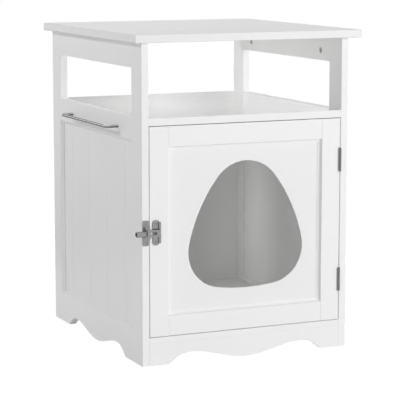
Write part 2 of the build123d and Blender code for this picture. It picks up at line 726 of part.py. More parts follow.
with BuildPart() as door_panel:
    with BuildSketch(Plane.XZ.offset(-door_panel_front_y - door_panel_thickness)):
        with Locations((opening_left_x + opening_width / 2, opening_mid_z)):
            Rectangle(door_panel_width, door_panel_height)
    extrude(amount=door_panel_thickness)
    with BuildSketch(Plane(entrance_origin, x_dir=(1, 0, 0), z_dir=(0, -1, 0))):
        with BuildLine():
            sill = JernArc((0, 0), (1, 0), sill_radius, entrance_sill_turn)
            corner = JernArc(sill @ 1, sill % 1, corner_radius, entrance_corner_turn)
            flank = JernArc(corner @ 1, corner % 1, flank_radius, entrance_flank_turn)
            JernArc(flank @ 1, flank % 1, crown_radius, crown_turn)
            mirror(about=Plane.YZ)
        make_face()
    extrude(amount=door_panel_thickness, mode=Mode.SUBTRACT)
door_panel.part.label = "door_panel"
export_step(door_panel.part, "parts/door_panel.step")

# Butt hinges: a leaf on the cabinet with the outer knuckles, a leaf on the door with the middle one
hinge_head_flare = hinge_screw_head_radius - hinge_screw_shank_radius
hinge_head_taper = math.degrees(math.atan(hinge_head_flare / leaf_thickness))
leaf_depth = hinge_stand_off + leaf_reach
for level, hinge_z in hinge_zs.items():
    hinge_low_z = hinge_z - hinge_height / 2
    middle_low_z = hinge_z - knuckle_height / 2
    outer_height = knuckle_height - knuckle_gap
    leaf_screw_places = [
        (hinge_screw_y, hinge_z + shift) for shift in (-hinge_screw_spacing / 2, hinge_screw_spacing / 2)
    ]
    outer_lows = (hinge_low_z, hinge_low_z + hinge_height - outer_height)

    with BuildPart() as cabinet_leaf:
        with BuildSketch(Plane.YZ.offset(right_inner_x - leaf_thickness)):
            with Locations((hinge_y, hinge_low_z)):
                Rectangle(leaf_depth, hinge_height, align=Align.MIN)
        extrude(amount=leaf_thickness)
        with BuildSketch(Plane.XY.offset(middle_low_z - knuckle_gap)):
            with Locations((hinge_x, hinge_y)):
                Circle(barrel_radius + knuckle_gap)
        extrude(amount=knuckle_height + 2 * knuckle_gap, mode=Mode.SUBTRACT)
        for low_z in outer_lows:
            with BuildSketch(Plane.XY.offset(low_z)):
                with Locations((hinge_x, hinge_y)):
                    Circle(barrel_radius)
            extrude(amount=outer_height)
        with BuildSketch(Plane.XY.offset(hinge_low_z)):
            with Locations((hinge_x, hinge_y)):
                Circle(pin_radius + pin_clearance)
        extrude(amount=hinge_height, mode=Mode.SUBTRACT)
        with BuildSketch(Plane.YZ.offset(right_inner_x - leaf_thickness)):
            with Locations(*leaf_screw_places):
                Circle(hinge_screw_head_radius + bore_play)
        extrude(amount=leaf_thickness, taper=hinge_head_taper, mode=Mode.SUBTRACT)
    cabinet_leaf.part.label = f"{level}_hinge_cabinet_leaf"
    export_step(cabinet_leaf.part, f"parts/{level}_hinge_cabinet_leaf.step")

    with BuildPart() as door_leaf:
        with BuildSketch(Plane.YZ.offset(door_right_x)):
            with Locations((hinge_y, hinge_low_z)):
                Rectangle(leaf_depth, hinge_height, align=Align.MIN)
        extrude(amount=leaf_thickness)
        for low_z in (hinge_low_z, middle_low_z + knuckle_height):
            with BuildSketch(Plane.XY.offset(low_z)):
                with Locations((hinge_x, hinge_y)):
                    Circle(barrel_radius + knuckle_gap)
            extrude(amount=knuckle_height, mode=Mode.SUBTRACT)
        with BuildSketch(Plane.XY.offset(middle_low_z)):
            with Locations((hinge_x, hinge_y)):
                Circle(barrel_radius)
        extrude(amount=knuckle_height)
        with BuildSketch(Plane.XY.offset(hinge_low_z)):
            with Locations((hinge_x, hinge_y)):
                Circle(pin_radius + pin_clearance)
        extrude(amount=hinge_height, mode=Mode.SUBTRACT)
        with BuildSketch(Plane.YZ.offset(door_right_x + leaf_thickness)):
            with Locations(*leaf_screw_places):
                Circle(hinge_screw_head_radius + bore_play)
        extrude(amount=-leaf_thickness, taper=hinge_head_taper, mode=Mode.SUBTRACT)
    door_leaf.part.label = f"{level}_hinge_door_leaf"
    export_step(door_leaf.part, f"parts/{level}_hinge_door_leaf.step")

    with BuildPart() as hinge_pin:
        with BuildSketch(Plane.XY.offset(hinge_low_z - pin_tip)):
            with Locations((hinge_x, hinge_y)):
                Circle(pin_radius)
        extrude(amount=hinge_height + 2 * pin_tip)
    hinge_pin.part.label = f"{level}_hinge_pin"
    export_step(hinge_pin.part, f"parts/{level}_hinge_pin.step")

# Hinge screws, flush in the leaves, one node for each body that they go into
hinge_screw = flat_head_screw(
    hinge_screw_head_radius, hinge_screw_shank_radius, leaf_thickness, hinge_screw_length
)
for owner, face_x, facing in (
    ("cabinet", right_inner_x - leaf_thickness, -1),
    ("door", door_right_x + leaf_thickness, 1),
):
    with BuildPart() as hinge_screws:
        with Locations(*[Plane((face_x, y, z), z_dir=(facing, 0, 0)) for y, z in hinge_screw_places]):
            add(hinge_screw)
    hinge_screws.part.label = f"hinge_{owner}_screws"
    export_step(hinge_screws.part, f"parts/hinge_{owner}_screws.step")

# Keeper: a plate on the left stile with a raised boss, slotted in front and hollow behind
plate_head_flare = plate_screw_head_radius - plate_screw_shank_radius
plate_head_taper = math.degrees(math.atan(plate_head_flare / plate_thickness))
with BuildPart() as latch_keeper:
    with BuildSketch(Plane.XZ.offset(-front_y)):
        with Locations((keeper_x, latch_height)):
            RectangleRounded(plate_width, plate_height, keeper_corner_radius)
    extrude(amount=plate_thickness)
    with BuildSketch(Plane.XZ.offset(-front_y)):
        with Locations((keeper_x, latch_height)):
            Rectangle(plate_width, boss_height)
    extrude(amount=boss_thickness)
    boss_edges = latch_keeper.faces().sort_by(Axis.Y)[0].edges()
    fillet(boss_edges, radius=boss_edge_radius)
    with BuildSketch(Plane.XZ.offset(-front_y)):
        with Locations((keeper_x, latch_height)):
            Circle(cam_length / 2 + 2 * cam_clearance)
    extrude(amount=boss_thickness - boss_wall, mode=Mode.SUBTRACT)
    with BuildSketch(Plane.XZ.offset(-front_y)):
        with Locations((keeper_x, latch_height)):
            SlotOverall(cam_length + 2 * cam_clearance, 2 * (knob_shaft_radius + cam_clearance), rotation=90)
    extrude(amount=boss_thickness, mode=Mode.SUBTRACT)
    with BuildSketch(Plane.XZ.offset(plate_thickness - front_y)):
        with Locations(*[(keeper_x, z) for z in latch_screw_zs]):
            Circle(plate_screw_head_radius + bore_play)
    extrude(amount=-plate_thickness, taper=plate_head_taper, mode=Mode.SUBTRACT)
latch_keeper.part.label = "latch_keeper"
export_step(latch_keeper.part, "parts/latch_keeper.step")

# Hinge plate on the door, with the outer knuckles along its right edge and a notch behind the open link
knuckle_lows = (
    latch_height - hasp_knuckle_height * 3 / 2,
    latch_height + hasp_knuckle_height / 2 + knuckle_gap,
)
outer_knuckle_height = hasp_knuckle_height - knuckle_gap
with BuildPart() as latch_hinge_plate:
    with BuildSketch(Plane.XZ.offset(-front_y)):
        with Locations((hinge_plate_x, latch_height)):
            RectangleRounded(plate_width, plate_height, hinge_plate_corner_radius)
        with Locations((hinge_plate_x - plate_width / 2, latch_height)):
            SlotOverall(2 * plate_notch_depth, plate_notch_height, mode=Mode.SUBTRACT)
    extrude(amount=plate_thickness)
    with BuildSketch(Plane.XY.offset(latch_height - hasp_knuckle_height / 2 - knuckle_gap)):
        with Locations((hasp_pin_x, hasp_pin_y)):
            Circle(hasp_knuckle_radius + knuckle_gap)
    extrude(amount=hasp_knuckle_height + 2 * knuckle_gap, mode=Mode.SUBTRACT)
    for low_z in knuckle_lows:
        with BuildSketch(Plane.XY.offset(low_z)):
            with Locations((hasp_pin_x, hasp_pin_y)):
                Circle(hasp_knuckle_radius)
        extrude(amount=outer_knuckle_height)
    with BuildSketch(Plane.XY.offset(knuckle_lows[0] - pin_tip - bore_end_play)):
        with Locations((hasp_pin_x, hasp_pin_y)):
            Circle(pin_radius + pin_clearance)
    extrude(amount=3 * hasp_knuckle_height + 2 * (pin_tip + bore_end_play), mode=Mode.SUBTRACT)
    with BuildSketch(Plane.XZ.offset(plate_thickness - front_y)):
        with Locations(*[(hinge_plate_x, z) for z in latch_screw_zs]):
            Circle(plate_screw_head_radius + bore_play)
    extrude(amount=-plate_thickness, taper=plate_head_taper, mode=Mode.SUBTRACT)
latch_hinge_plate.part.label = "latch_hinge_plate"
export_step(latch_hinge_plate.part, "parts/latch_hinge_plate.step")

with BuildPart() as latch_pin:
    with BuildSketch(Plane.XY.offset(knuckle_lows[0] - pin_tip)):
        with Locations((hasp_pin_x, hasp_pin_y)):
            Circle(pin_radius)
    extrude(amount=3 * hasp_knuckle_height + 2 * pin_tip)
latch_pin.part.label = "latch_pin"
export_step(latch_pin.part, "parts/latch_pin.step")

# Hasp arm: a middle knuckle, an open link and a hollow-ended finger bar that reaches past the cabinet's side
link_mid_y = front_y - hasp_link_front + hasp_link_thickness / 2
link_right_x = hasp_pin_x - hasp_knuckle_radius
link_mid_x = (finger_right_x + link_right_x) / 2
slot_mid_x = finger_right_x + hasp_slot_margin + hasp_slot_length / 2
middle_knuckle_z = latch_height - hasp_knuckle_height / 2
with BuildPart() as hasp_arm:
    with BuildSketch(Plane.XY.offset(middle_knuckle_z)):
        with Locations((hasp_pin_x, hasp_pin_y)):
            Circle(hasp_knuckle_radius)
        with Locations((link_right_x, link_mid_y)):
            Circle(hasp_link_thickness / 2)
        make_hull()
    extrude(amount=hasp_knuckle_height)
    with BuildSketch(Plane.XZ.offset(hasp_link_front - hasp_link_thickness - front_y)):
        with Locations((link_mid_x, latch_height)):
            Rectangle(link_right_x - finger_right_x, hasp_knuckle_height)
        with Locations((slot_mid_x, latch_height)):
            SlotOverall(hasp_slot_length, hasp_slot_height, mode=Mode.SUBTRACT)
    extrude(amount=hasp_link_thickness)
    with BuildSketch(Plane.YZ.offset(finger_left_x)):
        with Locations((finger_y, latch_height)):
            Circle(finger_radius)
    extrude(amount=finger_right_x - finger_left_x)
    fillet(hasp_arm.edges().group_by(Axis.X)[0], radius=finger_edge_radius)
    with BuildSketch(Plane.YZ.offset(finger_left_x)):
        with Locations((finger_y, latch_height)):
            Circle(finger_radius - finger_wall)
    extrude(amount=finger_bore_depth, mode=Mode.SUBTRACT)
    with BuildSketch(Plane.XY.offset(middle_knuckle_z)):
        with Locations((hasp_pin_x, hasp_pin_y)):
            Circle(pin_radius + pin_clearance)
    extrude(amount=hasp_knuckle_height, mode=Mode.SUBTRACT)
    with BuildSketch(Plane.XZ.offset(-finger_y - finger_radius)):
        with Locations((keeper_x, latch_height)):
            Circle(knob_shaft_radius + pin_clearance)
    extrude(amount=2 * finger_radius, mode=Mode.SUBTRACT)
hasp_arm.part.label = "hasp_arm"
export_step(hasp_arm.part, "parts/hasp_arm.step")

# Turn knob: an oval thumb piece, a shaft through the finger bar and a cam that turns behind the keeper's wall
knob_back_y = finger_y - finger_radius - cam_clearance / 2
cam_front_y = front_y - boss_thickness + boss_wall + cam_clearance
with BuildPart() as turn_knob:
    with BuildSketch(Plane.XZ.offset(-knob_back_y)):
        with Locations((keeper_x, latch_height)):
            SlotOverall(knob_length, knob_width, rotation=90)
    extrude(amount=knob_thickness)
    fillet(turn_knob.edges().group_by(Axis.Y)[0], radius=finger_edge_radius)
    with BuildSketch(Plane.XZ.offset(-cam_front_y - cam_thickness)):
        with Locations((keeper_x, latch_height)):
            Circle(knob_shaft_radius)
    extrude(amount=cam_front_y + cam_thickness - knob_back_y)
    with BuildSketch(Plane.XZ.offset(-cam_front_y - cam_thickness)):
        with Locations((keeper_x, latch_height)):
            SlotOverall(cam_length, 2 * knob_shaft_radius, rotation=90)
    extrude(amount=cam_thickness)
turn_knob.part.label = "turn_knob"
export_step(turn_knob.part, "parts/turn_knob.step")

# Latch screws, one node for each body that they go into
plate_screw = flat_head_screw(
    plate_screw_head_radius, plate_screw_shank_radius, plate_thickness, plate_screw_length
)
for owner, plate_x in (("keeper", keeper_x), ("hinge_plate", hinge_plate_x)):
    with BuildPart() as plate_screws:
        with Locations(
            *[Plane((plate_x, front_y - plate_thickness, z), z_dir=(0, -1, 0)) for z in latch_screw_zs]
        ):
            add(plate_screw)
    plate_screws.part.label = f"{owner}_screws"
    export_step(plate_screws.part, f"parts/{owner}_screws.step")
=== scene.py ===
import math

import bmesh
import bpy
from mathutils import Matrix, Vector


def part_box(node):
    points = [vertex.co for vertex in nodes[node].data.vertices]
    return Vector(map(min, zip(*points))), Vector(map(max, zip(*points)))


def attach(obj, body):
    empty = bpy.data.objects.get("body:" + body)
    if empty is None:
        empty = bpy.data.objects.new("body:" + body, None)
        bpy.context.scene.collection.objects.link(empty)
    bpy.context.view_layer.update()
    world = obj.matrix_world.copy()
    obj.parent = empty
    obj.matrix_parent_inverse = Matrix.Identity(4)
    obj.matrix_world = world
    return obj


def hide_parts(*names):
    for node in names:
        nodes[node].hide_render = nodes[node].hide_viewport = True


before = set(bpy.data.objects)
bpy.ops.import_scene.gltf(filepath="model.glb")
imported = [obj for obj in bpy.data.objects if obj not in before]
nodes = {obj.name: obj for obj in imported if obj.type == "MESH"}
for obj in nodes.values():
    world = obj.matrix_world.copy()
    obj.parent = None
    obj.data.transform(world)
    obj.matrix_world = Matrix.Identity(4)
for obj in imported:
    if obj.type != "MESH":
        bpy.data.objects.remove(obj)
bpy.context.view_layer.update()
scene = bpy.context.scene
scene.view_settings.view_transform = "Standard"

# Viewpoint: the cabinet stands with its left front corner towards a long lens, a little above the top board.
# The lens is level enough that the uprights stay almost parallel.
lens_place = (-1.4771, -3.3317, 0.8316)
lens_turn = math.radians(24.076)
lens_dip = math.radians(8.55)
view_camera = bpy.data.cameras.new("view_camera")
view_camera.sensor_width = 36
view_camera.lens = 156.99
view_camera.clip_end = 40
view_point = bpy.data.objects.new("view_point", view_camera)
view_point.location = lens_place
view_point.rotation_euler = (math.pi / 2 - lens_dip, 0, -lens_turn)
scene.collection.objects.link(view_point)
scene.camera = view_point


# Studio: a white floor and a white surround, as in a catalogue picture cut out on white.
# The lens and glossy finishes see them as plain white, and the floor keeps a faint shadow of the cabinet.
# Light is followed through many bounces, because white boards pass most of it on.
def seen_directly(tree):
    """1 for rays that show the surround, to the lens or in a glossy finish, and 0 for all others."""
    path = tree.nodes.new("ShaderNodeLightPath")
    lens_or_gloss = tree.nodes.new("ShaderNodeMath")
    lens_or_gloss.operation = "MAXIMUM"
    tree.links.new(path.outputs["Is Camera Ray"], lens_or_gloss.inputs[0])
    tree.links.new(path.outputs["Is Glossy Ray"], lens_or_gloss.inputs[1])
    any_direct = tree.nodes.new("ShaderNodeMath")
    any_direct.operation = "MAXIMUM"
    tree.links.new(lens_or_gloss.outputs[0], any_direct.inputs[0])
    tree.links.new(path.outputs["Is Transmission Ray"], any_direct.inputs[1])
    return any_direct.outputs[0]


def add_range(tree, value, low, high, to_low, to_high):
    """Carry a value over from one range to another."""
    carried = tree.nodes.new("ShaderNodeMapRange")
    for socket, level in (("From Min", low), ("From Max", high), ("To Min", to_low), ("To Max", to_high)):
        carried.inputs[socket].default_value = level
    tree.links.new(value, carried.inputs["Value"])
    return carried.outputs["Result"]


room_light = 0.31
surround = bpy.data.worlds.new("white_surround")
surround.use_nodes = True
room = surround.node_tree
room.nodes.clear()
room_glow = room.nodes.new("ShaderNodeBackground")
room_glow.inputs["Color"].default_value = (1, 1, 1, 1)
room.links.new(add_range(room, seen_directly(room), 0, 1, room_light, 1), room_glow.inputs["Strength"])
room_out = room.nodes.new("ShaderNodeOutputWorld")
room.links.new(room_glow.outputs[0], room_out.inputs["Surface"])
scene.world = surround
scene.cycles.max_bounces = 24
scene.cycles.diffuse_bounces = 20

floor_reach = 14
floor_grey = 0.66
floor_white_share = 0.95
floor_glow = 1.05
floor_finish = bpy.data.materials.new("white_floor")
floor_finish.use_nodes = True
ground = floor_finish.node_tree
ground.nodes.clear()
ground_matt = ground.nodes.new("ShaderNodeBsdfDiffuse")
ground_matt.inputs["Color"].default_value = (floor_grey, floor_grey, floor_grey, 1)
ground_white = ground.nodes.new("ShaderNodeEmission")
ground_white.inputs["Strength"].default_value = floor_glow
ground_mix = ground.nodes.new("ShaderNodeMixShader")
ground_share = add_range(ground, seen_directly(ground), 0, 1, 0, floor_white_share)
ground.links.new(ground_share, ground_mix.inputs["Fac"])
ground.links.new(ground_matt.outputs[0], ground_mix.inputs[1])
ground.links.new(ground_white.outputs[0], ground_mix.inputs[2])
ground_out = ground.nodes.new("ShaderNodeOutputMaterial")
ground.links.new(ground_mix.outputs[0], ground_out.inputs["Surface"])
floor_corners = [(x * floor_reach, y * floor_reach, 0) for x, y in ((-1, -1), (1, -1), (1, 1), (-1, 1))]
floor_mesh = bpy.data.meshes.new("studio_floor")
floor_mesh.from_pydata(floor_corners, [], [(0, 1, 2, 3)])
floor_mesh.materials.append(floor_finish)
studio_floor = bpy.data.objects.new("studio_floor", floor_mesh)
scene.collection.objects.link(studio_floor)

# Softboxes: square lamps round and over the cabinet, the strongest of them at its right front.
# Two small lamps, in the shelf bay and in the cabin, stand for light that bounces about inside.
for lamp_name, lamp_place, lamp_aim, lamp_width, lamp_height, lamp_spread, lamp_watts in (
    ("front_softbox", (2.4, -4.15, 1.1), (0, 0, 0.3), 1.8, 1.8, 180, 126),
    ("fill_softbox", (-2.3, -2.6, 0.75), (0, 0, 0.35), 1.2, 1.2, 180, 12),
    ("left_softbox", (-2.5, 1.15, 1.83), (0, 0, 0.35), 0.3, 0.3, 180, 21.5),
    ("rear_softbox", (0.4, 3.2, 1.2), (0, 0, 0.35), 1.8, 1.8, 180, 50),
    ("top_softbox", (0, 0.2, 3), (0, 0, 0.35), 1.5, 1.5, 180, 4),
    ("bay_light", (-0.1, 0.03, 0.605), (0.214, 0.03, 0.6), 0.36, 0.03, 180, 0.085),
    ("cabin_light", (0.03, 0.13, 0.22), (0.206, 0.155, 0.21), 0.06, 0.3, 80, 0.0235),
):
    softbox = bpy.data.lights.new(lamp_name, "AREA")
    softbox.shape = "RECTANGLE"
    softbox.size = lamp_width
    softbox.size_y = lamp_height
    softbox.spread = math.radians(lamp_spread)
    softbox.energy = lamp_watts
    lamp = bpy.data.objects.new(lamp_name, softbox)
    lamp.location = lamp_place
    lamp.rotation_euler = (Vector(lamp_aim) - Vector(lamp_place)).to_track_quat("-Z", "Y").to_euler()
    lamp.visible_camera = False
    lamp.visible_glossy = False
    scene.collection.objects.link(lamp)

# Reflection cards: sheets that only glossy finishes see, each with its shades from left to right.
# One is behind the shelf bay, where the shelf mirrors it, and two dark ones stand and lie behind the cabinet.
for card_name, card_steps, card_corners in (
    (
        "shelf_card",
        ((0, 0.42), (0.33, 0.8), (0.5, 0.6), (0.57, 0.6), (0.62, 0.82), (1, 1)),
        ((-0.1, 0.5, 0.5), (0.6, 0.5, 0.5), (0.6, 0.5, 0.6), (-0.1, 0.5, 0.6)),
    ),
    (
        "high_card",
        ((0, 0.04), (0.5, 0.04), (1, 1)),
        ((-0.9, 3.2, 1.2), (1, 3.2, 1.2), (1, 3.2, 1.9), (-0.9, 3.2, 1.9)),
    ),
    (
        "low_card",
        ((0, 0.03), (0.5, 0.03), (1, 1)),
        ((-0.8, 0.9, 0.003), (0.6, 0.9, 0.003), (0.6, 2.6, 0.003), (-0.8, 2.6, 0.003)),
    ),
):
    card_finish = bpy.data.materials.new(card_name)
    card_finish.use_nodes = True
    card_tree = card_finish.node_tree
    card_tree.nodes.clear()
    card_place = card_tree.nodes.new("ShaderNodeTexCoord")
    card_across = card_tree.nodes.new("ShaderNodeSeparateXYZ")
    card_tree.links.new(card_place.outputs["Generated"], card_across.inputs["Vector"])
    card_tone = card_tree.nodes.new("ShaderNodeValToRGB")
    card_ramp = card_tone.color_ramp.elements
    card_stops, card_shades = zip(*card_steps)
    for stop in card_stops[1:-1]:
        card_ramp.new(stop)
    for step, shade in zip(card_ramp, card_shades):
        step.color = (shade, shade, shade, 1)
    card_tree.links.new(card_across.outputs["X"], card_tone.inputs["Fac"])
    card_glow = card_tree.nodes.new("ShaderNodeEmission")
    card_tree.links.new(card_tone.outputs["Color"], card_glow.inputs["Color"])
    card_out = card_tree.nodes.new("ShaderNodeOutputMaterial")
    card_tree.links.new(card_glow.outputs[0], card_out.inputs["Surface"])
    card_mesh = bpy.data.meshes.new(card_name)
    card_mesh.from_pydata(card_corners, [], [(0, 1, 2, 3)])
    card_mesh.materials.append(card_finish)
    card = bpy.data.objects.new(card_name, card_mesh)
    scene.collection.objects.link(card)
    card.visible_camera = False
    card.visible_diffuse = False
    card.visible_shadow = False
    card.visible_transmission = False

# Top board: one slab of fibreboard with softened edges, sprayed white and drawn down by cam bolts.
# Its satin lacquer shows a faint orange peel, and its gloss wanders a little over the sheet.
noise_low = 0.3
noise_high = 0.7


def add_noise(tree, place, scale, detail):
    """A noise over the piece, most of which lies between noise_low and noise_high."""
    noise = tree.nodes.new("ShaderNodeTexNoise")
    noise.inputs["Scale"].default_value = scale
    noise.inputs["Detail"].default_value = detail
    tree.links.new(place, noise.inputs["Vector"])
    return noise.outputs["Fac"]


def add_tint(tree, noise, low, low_colour, high, high_colour):
    """Colour the piece by a noise, from one colour at a low value to another at a high value."""
    tint = tree.nodes.new("ShaderNodeValToRGB")
    tint.name = "tint"
    for step, position, colour in zip(tint.color_ramp.elements, (low, high), (low_colour, high_colour)):
        step.position = position
        step.color = (*colour, 1)
    tree.links.new(noise, tint.inputs["Fac"])
    tree.links.new(tint.outputs["Color"], tree.nodes["Principled BSDF"].inputs["Base Color"])


def add_gloss(tree, noise, rough_low, rough_high):
    """Let the piece's roughness wander between two values."""
    gloss = add_range(tree, noise, noise_low, noise_high, rough_low, rough_high)
    tree.links.new(gloss, tree.nodes["Principled BSDF"].inputs["Roughness"])


def add_relief(tree, noise, strength, depth):
    """Give the piece a fine unevenness from a noise."""
    relief = tree.nodes.new("ShaderNodeBump")
    relief.inputs["Strength"].default_value = strength
    relief.inputs["Distance"].default_value = depth
    tree.links.new(noise, relief.inputs["Height"])
    tree.links.new(relief.outputs["Normal"], tree.nodes["Principled BSDF"].inputs["Normal"])


def white_lacquer(name, tone, rough_low, rough_high, peel_size, peel_depth=0.000008):
    """Sprayed white lacquer: a slow drift of tone, a wandering gloss and a fine orange peel."""
    thin_share = (0.985, 0.985, 0.98)
    full_share = (1, 1, 0.997)
    finish = bpy.data.materials.new(name)
    finish.use_nodes = True
    tree = finish.node_tree
    place = tree.nodes.new("ShaderNodeTexCoord").outputs["Object"]
    drift = add_noise(tree, place, scale=5, detail=3)
    patches = add_noise(tree, place, scale=38, detail=4)
    peel = add_noise(tree, place, scale=1 / peel_size, detail=2)
    thin_coat = [tone * share for share in thin_share]
    full_coat = [tone * share for share in full_share]
    add_tint(tree, drift, noise_low, thin_coat, noise_high, full_coat)
    add_gloss(tree, patches, rough_low, rough_high)
    add_relief(tree, peel, strength=0.35, depth=peel_depth)
    return finish


def finish_node(node, finish):
    """Give a CAD node its finish."""
    nodes[node].material_slots[0].material = finish


finish_node("top_board", white_lacquer("top_lacquer", 0.89, 0.3, 0.38, 0.0022))

# Side frames: stiles and rails of painted fibreboard, doweled and glued so that their faces run level.
# The edges round the panels are coved like the door's, and the other arrises are eased, so that joints show.
weld_reach = 0.000001
sliver_reach = 0.000002
flat_angle = math.radians(0.5)
corner_angle = math.radians(80)
crease_angle = math.radians(30)
square_share = 0.9999
shortest_arris = 0.012
ease_size = 0.0007
cove_size = 0.005
cove_profile = 0.18
slack = 0.0001


def open_board(node):
    """A copy of a CAD board's mesh with its flat faces whole, to be worked on."""
    board = bmesh.new()
    board.from_mesh(nodes[node].data)
    bmesh.ops.remove_doubles(board, verts=board.verts, dist=weld_reach)
    bmesh.ops.dissolve_limit(board, angle_limit=flat_angle, verts=board.verts, edges=board.edges)
    return board


def is_square(face):
    """Whether a face lies straight across the cabinet, and so isn't part of a curve."""
    return max(abs(part) for part in face.normal) > square_share


def ease_board(board, node, body, finish):
    """Ease a board's long square arrises and let it stand for its CAD node."""
    board.normal_update()
    arrises = [
        edge for edge in board.edges
        if len(edge.link_faces) == 2 and edge.calc_length() > shortest_arris
        and edge.calc_face_angle() > corner_angle and all(is_square(face) for face in edge.link_faces)
    ]
    bmesh.ops.bevel(
        board, geom=arrises, offset=ease_size, offset_type="OFFSET", segments=2, profile=0.5, affect="EDGES",
        clamp_overlap=True,
    )
    bmesh.ops.dissolve_degenerate(board, dist=sliver_reach, edges=board.edges)
    bmesh.ops.triangulate(board, faces=board.faces)
    board.normal_update()
    for face in board.faces:
        face.smooth = not is_square(face)
    for edge in board.edges:
        edge.smooth = edge.calc_face_angle(0) < crease_angle
    mesh = bpy.data.meshes.new(f"{node}_eased")
    board.to_mesh(mesh)
    board.free()
    mesh.materials.append(finish)
    eased = bpy.data.objects.new(f"{node}_eased", mesh)
    scene.collection.objects.link(eased)
    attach(eased, body)
    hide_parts(node)


frame_lacquer = white_lacquer("frame_lacquer", 0.92, 0.34, 0.44, 0.0018)
for side, outer_corner in (("left", 0), ("right", 1)):
    outer_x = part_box(f"{side}_front_stile")[outer_corner][0]
    recess_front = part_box(f"{side}_front_stile")[1][1]
    recess_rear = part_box(f"{side}_rear_stile")[0][1]
    recess_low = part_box(f"{side}_bottom_rail")[1][2]
    recess_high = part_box(f"{side}_mid_rail")[0][2]
    for piece in ("front_stile", "rear_stile", "top_rail", "mid_rail", "bottom_rail"):
        board = open_board(f"{side}_{piece}")
        if piece.endswith("stile"):
            for level in (recess_low, recess_high):
                whole = [*board.verts, *board.edges, *board.faces]
                bmesh.ops.bisect_plane(board, geom=whole, plane_co=(0, 0, level), plane_no=(0, 0, 1))
        board.normal_update()
        rim = []
        for edge in board.edges:
            start, end = (corner.co for corner in edge.verts)
            middle = (start + end) / 2
            on_outer_face = abs(start.x - outer_x) + abs(end.x - outer_x) < slack
            along_recess = recess_front - slack < middle.y < recess_rear + slack
            beside_recess = recess_low - slack < middle.z < recess_high + slack
            if on_outer_face and along_recess and beside_recess and edge.calc_face_angle(0) > corner_angle:
                rim.append(edge)
        if rim:
            bmesh.ops.bevel(
                board, geom=rim, offset=cove_size, offset_type="OFFSET", segments=4, profile=cove_profile,
                affect="EDGES", clamp_overlap=False,
            )
        ease_board(board, f"{side}_{piece}", "cabinet", frame_lacquer)

# Side panels: thin fibreboard sheets, loose in the frames' grooves, with upright flutes in their outer faces.
# Their white coat is a little flatter than the frames'.
panel_lacquer = white_lacquer("panel_lacquer", 0.92, 0.4, 0.5, 0.0016)
for side in ("left", "right"):
    finish_node(f"{side}_panel", panel_lacquer)

# Shelf, floor board, back panel and apron: sprayed fibreboard that ties the two side frames together.
# Cam locks hold the boards and dowels the back panel. The shelf's coat is the glossiest and mirrors its bay.
shelf_lacquer = white_lacquer("shelf_lacquer", 0.92, 0.12, 0.14, 0.0024, peel_depth=0.000002)
ease_board(open_board("shelf"), "shelf", "cabinet", shelf_lacquer)
for node in ("floor_board", "back_panel", "front_apron"):
    ease_board(open_board(node), node, "cabinet", frame_lacquer)

# Door: two stiles and two rails of fibreboard with coved inner edges, doweled and glued round a thin panel.
# The pet entrance is cut in the panel. Only hairlines show at the joints of the frame.
door_lacquer = white_lacquer("door_lacquer", 0.92, 0.34, 0.42, 0.0018)
for piece in ("left_stile", "right_stile", "top_rail", "bottom_rail"):
    ease_board(open_board(f"door_{piece}"), f"door_{piece}", "door", door_lacquer)
finish_node("door_panel", white_lacquer("door_panel_lacquer", 0.885, 0.36, 0.44, 0.0018))


# Hinges: stamped butt hinges of plated steel in the right gap, each with two leaves and a pin.
# The plating is satin, with fine rolling lines along the strip that the leaves are cut from.
def add_grain(tree, grain_stretch, detail):
    """A noise drawn out along one direction, as lines or grain."""
    place = tree.nodes.new("ShaderNodeTexCoord").outputs["Object"]
    stretch = tree.nodes.new("ShaderNodeMapping")
    stretch.inputs["Scale"].default_value = grain_stretch
    tree.links.new(place, stretch.inputs["Vector"])
    return add_noise(tree, stretch.outputs["Vector"], scale=1, detail=detail)


def plated_metal(name, colour, rough_low, rough_high, grain_stretch, grain_depth):
    """Plated steel: fine lines along one direction, with a gloss that changes from line to line."""
    dull_share = 0.86
    finish = bpy.data.materials.new(name)
    finish.use_nodes = True
    tree = finish.node_tree
    tree.nodes["Principled BSDF"].inputs["Metallic"].default_value = 1
    lines = add_grain(tree, grain_stretch, detail=4)
    dull_colour = [channel * dull_share for channel in colour]
    add_tint(tree, lines, noise_low, dull_colour, noise_high, colour)
    add_gloss(tree, lines, rough_low, rough_high)
    add_relief(tree, lines, strength=0.3, depth=grain_depth)
    return finish


hinge_nickel = plated_metal("hinge_nickel", (0.2, 0.196, 0.19), 0.24, 0.36, (2400, 2400, 60), 0.00002)
for level in ("upper", "lower"):
    for piece in ("cabinet_leaf", "door_leaf", "pin"):
        finish_node(f"{level}_hinge_{piece}", hinge_nickel)

# Latch: a twist-lock hasp of plated steel, its keeper screwed to the stile and its hinge plate to the door.
# The arm swings on the plate's pin, and its knob turns a cam behind the keeper's slot.
latch_nickel = plated_metal("latch_nickel", (0.33, 0.33, 0.332), 0.2, 0.32, (60, 2400, 2400), 0.00002)
for piece in ("latch_keeper", "latch_hinge_plate", "latch_pin", "hasp_arm", "turn_knob"):
    finish_node(piece, latch_nickel)

# Latch screws: countersunk wood screws, two in the keeper and two in the hinge plate, plated like the plates.
# Each head is turned flat and has a cross recess pressed into it.
head_sides = 40
head_crease_angle = math.radians(32)
pit_share = 0.6


